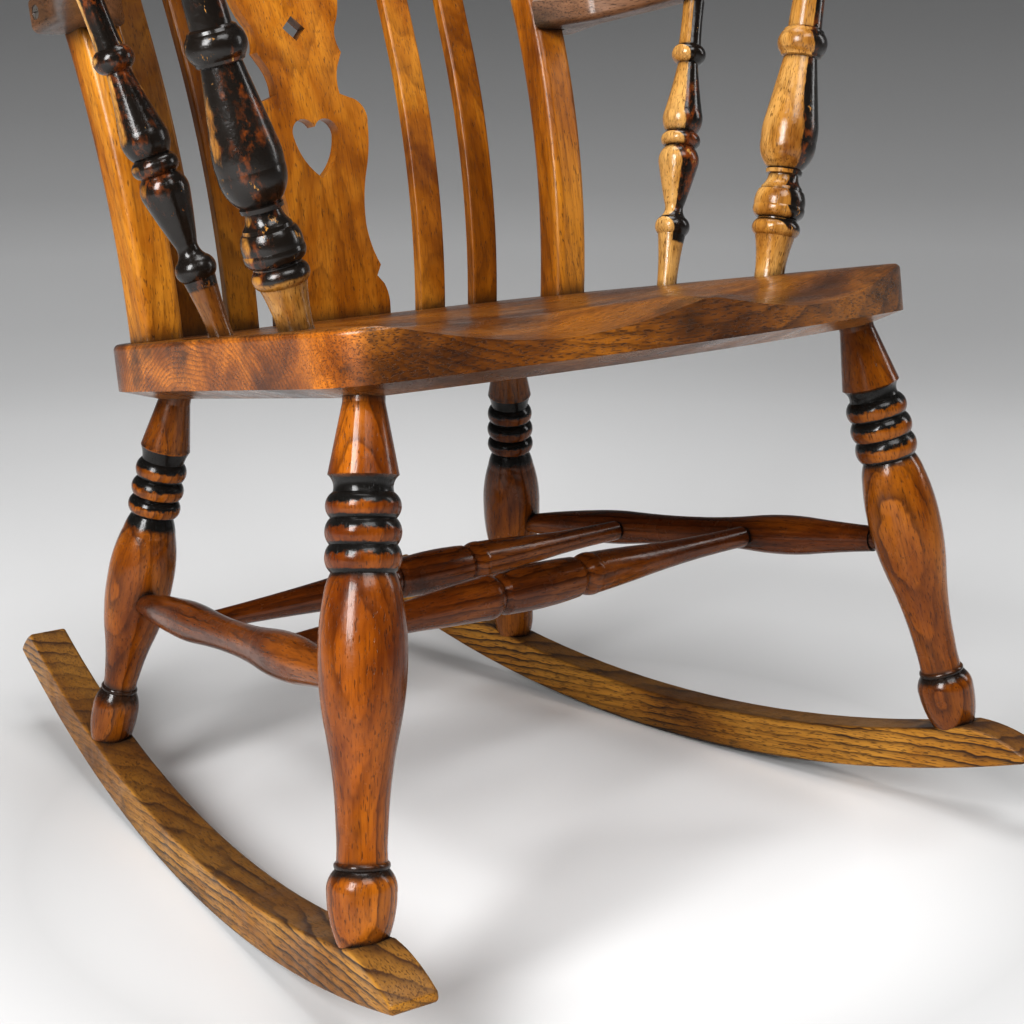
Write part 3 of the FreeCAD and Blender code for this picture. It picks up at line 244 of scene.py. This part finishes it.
class Wood(Finish):
    """A wood, seen along its own grain: z runs with the grain, x and y across it, in metres. Each
    piece is given a number, so that no two show the same pattern."""

    def __init__(self, name, origin, along, face, number):
        super().__init__(name)
        along = along.normalized()
        across = face.cross(along).normalized()
        turn = Matrix((across, along.cross(across), along))
        mapping = self.add(
            "ShaderNodeMapping",
            {
                "Vector": self.add("ShaderNodeTexCoord").outputs["Object"],
                "Location": -(turn @ origin),
                "Rotation": turn.to_euler(),
            },
        )
        self.place = mapping.outputs[0]
        self.shifted = self.add(
            "ShaderNodeVectorMath",
            {0: self.place, 1: tuple(number * step for step in PATTERN_STEPS)},
            operation="ADD",
        ).outputs[0]

    def stretched(self, pull):
        """Places drawn out along the grain."""
        inputs = {0: self.shifted, 1: (1.0, 1.0, pull)}
        return self.add("ShaderNodeVectorMath", inputs, operation="MULTIPLY").outputs[0]

    def rings(self, pith, width, wobble):
        """The growth rings: 0 in the early wood of a year, 1 in its late wood."""
        flat = self.add("ShaderNodeVectorMath", {0: self.place, 1: (1, 1, 0)}, operation="MULTIPLY")
        reach = self.add(
            "ShaderNodeVectorMath",
            {0: flat.outputs[0], 1: (pith[0], pith[1], 0.0)},
            operation="DISTANCE",
        ).outputs["Value"]
        sway = self.noise(self.stretched(0.22), 9.0, 2.0, 0.5)
        reach = self.sum("MULTIPLY_ADD", sway, wobble, reach)
        shiver = self.noise(self.stretched(0.5), 90.0, 2.0, 0.5)
        reach = self.sum("MULTIPLY_ADD", shiver, width * 0.8, reach)
        year = self.sum("FRACT", self.sum("DIVIDE", reach, width))
        rise = self.sum("POWER", year, 3.0)
        fall = self.fade(year, 0.88, 1.0, 1.0, 0.0)
        return self.sum("MULTIPLY", rise, fall)

    def flecks(self, width, length, amount):
        """Short dark dashes that lie along the grain."""
        pattern = self.noise(self.stretched(width / length), 1.0 / width, 1.0, 0.4)
        return self.fade(pattern, 0.66 - amount, 0.74 - amount)

    def figure(self, tones, pith, year, wobble, lines, pores):
        """The colour of the wood, from its pale tone to the dark line that ends each year."""
        pale, mid, deep, line = tones
        cloud = self.noise(self.stretched(0.35), CLOUDS_PER_METRE, 5.0, 0.62, 0.5)
        colour = self.steps(cloud, [(0.36, deep), (0.49, mid), (0.62, pale)])
        patch = self.fade(self.noise(self.shifted, PATCHES_PER_METRE), 0.38, 0.60, 0.4, 1.0)
        years = self.sum("MULTIPLY", self.rings(pith, year, wobble), patch)
        colour = self.mix(self.sum("MULTIPLY", years, lines), colour, line)
        fibres = self.noise(self.stretched(0.03), FIBRES_PER_METRE, 3.0, 0.6)
        colour = self.mix(self.fade(fibres, 0.46, 0.70, 0.0, 0.38), colour, line)
        flecks = self.flecks(PORE_WIDTH, PORE_LENGTH, pores)
        colour = self.mix(self.sum("MULTIPLY", flecks, 0.6), colour, PORE_COLOUR)
        self.relief = self.sum("MULTIPLY_ADD", flecks, -0.5, self.noise(self.shifted, 40.0))
        return colour

    def crevices(self, reach, low, high):
        """1 in corners, grooves and joints, 0 on open surfaces."""
        node = self.add("ShaderNodeAmbientOcclusion", {"Distance": reach}, samples=6)
        return self.fade(node.outputs["AO"], low, high, 1.0, 0.0)

    def soiled_and_shaded(self, colour, reach, low, amount):
        """The colour darkened in its crevices and joints: old dirt and painted shade."""
        # Painted shade with the dirt: near-black in crevices, grooves and between parts.
        dirt_and_shade = self.crevices(reach, low, 0.92)
        return self.mix(self.sum("MULTIPLY", dirt_and_shade, amount), colour, DIRT_AND_SHADE_COLOUR)

    def turned_to(self, direction):
        """How squarely the surface faces a direction: 1 straight at it, -1 straight away."""
        normal = self.add("ShaderNodeNewGeometry").outputs["Normal"]
        inputs = {0: normal, 1: direction}
        return self.add("ShaderNodeVectorMath", inputs, operation="DOT_PRODUCT").outputs["Value"]

    def polish(self, colour, dull, bright, depth, coat, coat_roughness):
        """The finish over a colour, its gloss uneven from wear."""
        wear = self.noise(self.shifted, 38.0, 4.0, 0.6)
        bump = self.add(
            "ShaderNodeBump", {"Strength": 0.8, "Distance": depth, "Height": self.relief}
        ).outputs[0]
        shader = self.add(
            "ShaderNodeBsdfPrincipled",
            {
                "Base Color": colour,
                "Roughness": self.fade(wear, 0.30, 0.70, bright, dull),
                "Specular IOR Level": 0.25,
                "Coat Weight": coat,
                "Coat Roughness": coat_roughness,
                "Normal": bump,
            },
        )
        return self.close(shader.outputs[0])


def dress(name, material):
    """Gives a piece of the chair its finish."""
    mesh = nodes[name].data
    mesh.materials.clear()
    mesh.materials.append(material)
    for face in mesh.polygons:
        face.material_index = 0


def middle(name):
    """The middle of a piece's box."""
    low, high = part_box(name)
    return (low + high) / 2


LEAN = math.radians(9.34)
ELM_TONES = (
    (0.320, 0.114, 0.012, 1),
    (0.155, 0.049, 0.005, 1),
    (0.050, 0.015, 0.003, 1),
    (0.025, 0.008, 0.003, 1),
)
ELM_STAIN = (0.032, 0.014, 0.006, 1)
ENDS_LIGHT_GAIN = (2.2, 1.9, 1.3, 1)
seat_up = Vector((0.0, math.sin(LEAN), math.cos(LEAN)))
elm = Wood("seat_elm", middle("seat"), Vector((1, 0, 0)), seat_up, 1)
elm_colour = elm.figure(
    ELM_TONES, pith=(0.03, -0.10), year=0.0036, wobble=0.040, lines=0.95, pores=0.10
)
# Painted light: the faces at the seat's two ends are made lighter.
lit_ends = elm.fade(elm.sum("ABSOLUTE", elm.turned_to((1, 0, 0))), 0.55, 0.85, 0.0, 0.75)
elm_colour = elm.mix(lit_ends, elm_colour, ENDS_LIGHT_GAIN, "MULTIPLY")
elm_stain = elm.fade(elm.noise(elm.stretched(0.6), 13.0, 5.0, 0.65), 0.52, 0.68, 0.0, 0.80)
elm_colour = elm.mix(elm_stain, elm_colour, ELM_STAIN)
elm_colour = elm.soiled_and_shaded(elm_colour, reach=0.012, low=0.35, amount=0.85)
elm_polish = elm.polish(
    elm_colour, dull=0.40, bright=0.22, depth=0.0005, coat=0.42, coat_roughness=0.26
)
dress("seat", elm_polish)


# The legs: four beech turnings, each with a taper, a group of beads, a long belly and a foot.
# Black residue is left in the grooves, and the crests of the beads are worn back to the wood.

AXIS_FITS = 3
AXIS_BANDS = 24
FEWEST_IN_BAND = 12


def run_of(name):
    """The two ends of a turned piece's axis, found from its mesh, the upper end first. Each fit
    runs a line through the middles of bands of the mesh, which mortises don't pull aside."""
    places = np.array([vertex.co for vertex in nodes[name].data.vertices])
    centre = places.mean(0)
    direction = np.linalg.svd(places - centre, full_matrices=False)[2][0]
    for attempt in range(AXIS_FITS):
        along = (places - centre) @ direction
        aside = places - centre - np.outer(along, direction)
        sideways = np.cross(direction, (0.0, 1.0, 0.3))
        sideways /= np.linalg.norm(sideways)
        other = np.cross(direction, sideways)
        bands = np.linspace(along.min(), along.max(), AXIS_BANDS + 1)
        middles = []
        for low, high in zip(bands, bands[1:]):
            band = (along >= low) & (along <= high)
            if band.sum() < FEWEST_IN_BAND:
                continue
            spots = [aside[band] @ axis for axis in (sideways, other)]
            middles.append([(low + high) / 2] + [(spot.min() + spot.max()) / 2 for spot in spots])
        middles = np.array(middles)
        slopes = [np.polyfit(middles[:, 0], middles[:, number], 1) for number in (1, 2)]
        centre = centre + sideways * slopes[0][1] + other * slopes[1][1]
        direction = direction + sideways * slopes[0][0] + other * slopes[1][0]
        direction /= np.linalg.norm(direction)
    along = (places - centre) @ direction
    ends = [Vector(centre + direction * along.min()), Vector(centre + direction * along.max())]
    return sorted(ends, key=lambda end: -end.z)


TURNED_FACE = Vector((0.35, -1.0, 0.0))
RESIDUE_COLOUR = (0.009, 0.008, 0.007, 1)
RAGGED_EDGE = 0.0030
CREST_START = 0.0004
CREST_FADE = 0.0006


def turned_beech(name, number, tones, residue, crest):
    """Beech turned between centres. residue gives where black stays, along the piece's length,
    and crest the radius at which it is worn away."""
    top, bottom = run_of(name)
    axis = (bottom - top).normalized()
    wood = Wood(f"{name}_beech", top, axis, TURNED_FACE, number)
    pith = (0.050, 0.022 * math.cos(number))
    colour = wood.figure(tones, pith, year=0.0056, wobble=0.026, lines=1.05, pores=0.03)
    scuffs = wood.noise(wood.shifted, 160.0, 4.0, 0.7)
    down = wood.add("ShaderNodeSeparateXYZ", {0: wood.place}).outputs["Z"]
    down = wood.sum("MULTIPLY_ADD", scuffs, RAGGED_EDGE, down)
    down = wood.sum("SUBTRACT", down, RAGGED_EDGE / 2)
    share = wood.sum("DIVIDE", down, (top - bottom).length)
    black = wood.steps(share, [(place, (amount, amount, amount, 1)) for place, amount in residue])
    flat = wood.add("ShaderNodeVectorMath", {0: wood.place, 1: (1, 1, 0)}, operation="MULTIPLY")
    spoke = wood.add("ShaderNodeVectorMath", {0: flat.outputs[0]}, operation="LENGTH")
    radius = wood.sum("MULTIPLY_ADD", scuffs, CREST_FADE * 2, spoke.outputs["Value"])
    scuffed = wood.sum("SUBTRACT", wood.turned_to(axis), 0.45)
    under = wood.sum("MULTIPLY_ADD", scuffs, 0.9, scuffed)
    worn = wood.fade(radius, crest + CREST_START, crest + CREST_START + CREST_FADE)
    worn = wood.sum("MULTIPLY", worn, wood.fade(under, -0.30, -0.10))
    stain = wood.sum("MULTIPLY", black, wood.sum("SUBTRACT", 1.0, worn))
    groove = wood.crevices(reach=0.005, low=0.45, high=0.90)
    stain = wood.sum("MAXIMUM", stain, wood.sum("MULTIPLY", groove, 0.95), clamp=True)
    colour = wood.mix(stain, colour, RESIDUE_COLOUR)
    colour = wood.soiled_and_shaded(colour, reach=0.014, low=0.30, amount=0.85)
    wood.relief = wood.sum("MULTIPLY_ADD", scuffs, 0.5, wood.relief)
    return wood.polish(
        colour, dull=0.30, bright=0.16, depth=0.0004, coat=0.20, coat_roughness=0.10
    )


LEG_TONES = (
    (0.560, 0.185, 0.012, 1),
    (0.340, 0.096, 0.005, 1),
    (0.140, 0.032, 0.003, 1),
    (0.060, 0.014, 0.002, 1),
)
FRONT_LEG_RESIDUE = [
    (0.0, 0.0), (0.201, 0.0), (0.204, 1.0), (0.358, 1.0), (0.366, 0.15), (0.400, 0.0),
    (0.808, 0.0), (0.818, 0.95), (0.832, 0.95), (0.842, 0.10),
]
REAR_LEG_RESIDUE = [
    (0.0, 0.3), (0.200, 0.3), (0.212, 1.0), (0.395, 1.0), (0.405, 0.30), (0.480, 0.1),
    (0.790, 0.1), (0.805, 0.9), (0.830, 0.9), (0.850, 0.2),
]


def light_scaled_tones(tones, share):
    """The same wood with its tones scaled by share: painted shade below 1, painted light above."""
    return tuple(
        (red * share, green * share * 0.95, blue * share, 1) for red, green, blue, full in tones
    )


# Each share darkens the leg's tones as painted shade, most on the right and rear legs.
for number, (name, share, residue, crest) in enumerate((
    ("front_left_leg", 0.90, FRONT_LEG_RESIDUE, 0.0203),
    ("front_right_leg", 0.62, FRONT_LEG_RESIDUE, 0.0203),
    ("rear_left_leg", 0.70, REAR_LEG_RESIDUE, 0.0174),
    ("rear_right_leg", 0.60, REAR_LEG_RESIDUE, 0.0174),
), 3):
    dress(name, turned_beech(name, number, light_scaled_tones(LEG_TONES, share), residue, crest))


# The stretchers: four slimmer beech turnings, tenoned into the legs and into each other. They are
# out of reach of wear, so they keep a deeper and redder polish.

STRETCHER_TONES = (
    (0.270, 0.078, 0.008, 1),
    (0.130, 0.032, 0.004, 1),
    (0.045, 0.011, 0.002, 1),
    (0.020, 0.005, 0.002, 1),
)
NO_RESIDUE = [(0.0, 0.0), (1.0, 0.0)]
for number, name in enumerate((
    "left_side_stretcher",
    "right_side_stretcher",
    "front_cross_stretcher",
    "rear_cross_stretcher",
), 8):
    dress(name, turned_beech(name, number, STRETCHER_TONES, NO_RESIDUE, 0.0100))


# The rockers: two boards of coarse ash sawn to a curve, so the grain runs off their edges. The
# tops are painted darker than the sides, as painted shade.

ASH_TONES = (
    (0.460, 0.215, 0.030, 1),
    (0.330, 0.135, 0.013, 1),
    (0.165, 0.060, 0.007, 1),
    (0.036, 0.014, 0.005, 1),
)
ASH_BLOTS = (0.034, 0.020, 0.012, 1)
ASH_TOP_SHADE = (0.085, 0.040, 0.018, 1)
TOE_IN = math.radians(8.87)
GRAIN_FALL = -0.10
for number, (name, side) in enumerate((("left_rocker", -1), ("right_rocker", 1)), 14):
    toe = TOE_IN * side
    run = Vector((-math.sin(toe), math.cos(toe), GRAIN_FALL))
    ash = Wood(f"{name}_ash", middle(name), run, Vector((0, 0, 1)), number)
    colour = ash.figure(
        ASH_TONES, pith=(0.030, -0.120), year=0.0064, wobble=0.030, lines=1.70, pores=0.08
    )
    blots = ash.noise(ash.stretched(0.6), 30.0, 4.0, 0.6)
    colour = ash.mix(ash.fade(blots, 0.58, 0.72, 0.0, 0.75), colour, ASH_BLOTS)
    # Painted shade: surfaces facing up are made darker, ragged by the blots.
    facing_up = ash.sum("MULTIPLY_ADD", blots, 0.5, ash.turned_to((0, 0, 1)))
    top_shade = ash.fade(facing_up, 0.60, 1.10, 0.0, 0.55)
    colour = ash.mix(top_shade, colour, ASH_TOP_SHADE)
    colour = ash.soiled_and_shaded(colour, reach=0.020, low=0.30, amount=0.95)
    ash_polish = ash.polish(
        colour, dull=0.55, bright=0.34, depth=0.0006, coat=0.10, coat_roughness=0.28
    )
    dress(name, ash_polish)


# The bent back: a steam-bent hoop, four flat laths and a fretted splat of beech, let into the seat
# and the hoop. Their faces are rubbed to a golden brown.

BACK_TONES = (
    (0.560, 0.240, 0.022, 1),
    (0.360, 0.125, 0.006, 1),
    (0.160, 0.046, 0.003, 1),
    (0.080, 0.022, 0.003, 1),
)
BACK_RUN = Vector((0.0, 0.22, 1.0))


def bent_beech(name, number, share, year, wobble):
    """Straight-grained beech, bent with steam and polished."""
    wood = Wood(f"{name}_beech", middle(name), BACK_RUN, Vector((0, -1, 0)), number)
    pith = (0.012 * math.sin(number), -0.075)
    tones = light_scaled_tones(BACK_TONES, share)
    colour = wood.figure(tones, pith, year, wobble, lines=0.60, pores=0.02)
    colour = wood.soiled_and_shaded(colour, reach=0.018, low=0.30, amount=0.95)
    return wood.polish(
        colour, dull=0.46, bright=0.28, depth=0.0004, coat=0.22, coat_roughness=0.24
    )


# Each share scales the piece's tones: the left laths darker as painted shade, the hoop lighter as
# painted light.
for number, (name, share) in enumerate((
    ("back_hoop", 1.05),
    ("left_outer_lath", 0.42),
    ("left_inner_lath", 0.60),
    ("right_inner_lath", 1.00),
    ("right_outer_lath", 0.90),
), 20):
    dress(name, bent_beech(name, number, share, year=0.0060, wobble=0.015))
# The splat's share makes it a little lighter, as painted light.
dress("splat", bent_beech("splat", number=27, share=1.10, year=0.0090, wobble=0.060))


# The arms: flat boards on turned posts, screwed to the hoop. Hands have worn them, and the posts
# are black with old finish that has chipped back to the wood.

POST_TONES = (
    (0.700, 0.400, 0.130, 1),
    (0.460, 0.215, 0.042, 1),
    (0.200, 0.070, 0.010, 1),
    (0.080, 0.024, 0.005, 1),
)
BARE_SIDE = Vector((-0.99, 0.10, 0.0))
VARNISH_COLOUR = (0.012, 0.009, 0.007, 1)
RUBBED_COLOUR = (0.200, 0.050, 0.008, 1)
TENON_LENGTH = 0.020
SPIGOT_LENGTH = 0.030
SPIGOT_FADE = 0.001


def blackened_beech(name, number, bare_from):
    """A turned post whose black finish is rubbed away where it faces the worn side, and in chips
    elsewhere. bare_from is how squarely it has to face that side."""
    top, bottom = run_of(name)
    wood = Wood(f"{name}_beech", top, bottom - top, TURNED_FACE, number)
    colour = wood.figure(
        POST_TONES, pith=(0.045, 0.015), year=0.0055, wobble=0.020, lines=0.45, pores=0.06
    )
    ragged = wood.noise(wood.stretched(0.5), 34.0, 5.0, 0.65)
    edge = wood.sum("MULTIPLY_ADD", ragged, 0.5, wood.turned_to(BARE_SIDE))
    bare = wood.fade(edge, bare_from + 0.22, bare_from + 0.30)
    specks = wood.noise(wood.stretched(0.7), 120.0, 5.0, 0.7)
    bare = wood.sum("MAXIMUM", bare, wood.fade(specks, 0.64, 0.67))
    groove = wood.crevices(reach=0.006, low=0.60, high=0.95)
    bare = wood.sum("MULTIPLY", bare, wood.sum("SUBTRACT", 1.0, groove), clamp=True)
    down = wood.add("ShaderNodeSeparateXYZ", {0: wood.place}).outputs["Z"]
    spigot_top = (top - bottom).length - TENON_LENGTH - SPIGOT_LENGTH
    spigot = wood.sum("MULTIPLY_ADD", ragged, 0.006, down)
    spigot = wood.fade(spigot, spigot_top - SPIGOT_FADE, spigot_top + SPIGOT_FADE, 0.0, 0.8)
    bare = wood.sum("MAXIMUM", bare, spigot)
    rubbed = wood.sum("MULTIPLY", wood.fade(ragged, 0.48, 0.62), wood.fade(specks, 0.44, 0.60))
    varnish = wood.mix(rubbed, VARNISH_COLOUR, RUBBED_COLOUR)
    colour = wood.mix(bare, varnish, colour)
    colour = wood.soiled_and_shaded(colour, reach=0.012, low=0.30, amount=0.80)
    wood.relief = wood.sum("MULTIPLY_ADD", bare, -0.7, wood.noise(wood.shifted, 130.0, 5.0, 0.6))
    return wood.polish(
        colour, dull=0.30, bright=0.16, depth=0.0007, coat=0.40, coat_roughness=0.14
    )


for number, (name, bare_from) in enumerate((
    ("front_left_arm_post", 0.96),
    ("rear_left_arm_post", 0.96),
    ("front_right_arm_post", 0.23),
    ("rear_right_arm_post", 0.50),
), 31):
    dress(name, blackened_beech(name, number, bare_from))

ARM_TONES = (
    (0.240, 0.120, 0.062, 1),
    (0.120, 0.056, 0.026, 1),
    (0.045, 0.028, 0.014, 1),
    (0.022, 0.012, 0.007, 1),
)
ARM_SPLAY = 0.30
ARM_FALL = -0.10
for number, (name, side) in enumerate((("left_arm", -1), ("right_arm", 1)), 37):
    run = Vector((-ARM_SPLAY * side, 1.0, ARM_FALL))
    wood = Wood(f"{name}_elm", middle(name), run, Vector((0, 0, 1)), number)
    colour = wood.figure(
        ARM_TONES, pith=(0.02, -0.060), year=0.0050, wobble=0.030, lines=0.50, pores=0.08
    )
    colour = wood.soiled_and_shaded(colour, reach=0.012, low=0.30, amount=0.85)
    arm_polish = wood.polish(
        colour, dull=0.44, bright=0.26, depth=0.0005, coat=0.25, coat_roughness=0.22
    )
    dress(name, arm_polish)


# The screws: two steel wood screws, dulled and spotted with rust, one through the heel of each
# arm into the hoop. Their slotted heads are sunk into the wood.

STEEL_COLOUR = (0.36, 0.34, 0.31, 1)
RUST_COLOUR = (0.10, 0.050, 0.025, 1)
steel = Finish("dulled_steel")
steel_place = steel.add("ShaderNodeTexCoord").outputs["Object"]
rust = steel.fade(steel.noise(steel_place, 700.0, 4.0, 0.6), 0.50, 0.66)
steel_shader = steel.add(
    "ShaderNodeBsdfPrincipled",
    {
        "Base Color": steel.mix(rust, STEEL_COLOUR, RUST_COLOUR),
        "Metallic": 0.9,
        "Roughness": steel.sum("MULTIPLY_ADD", rust, 0.35, 0.38),
    },
)
screw_steel = steel.close(steel_shader.outputs[0])
dress("left_arm_screw", screw_steel)
dress("right_arm_screw", screw_steel)
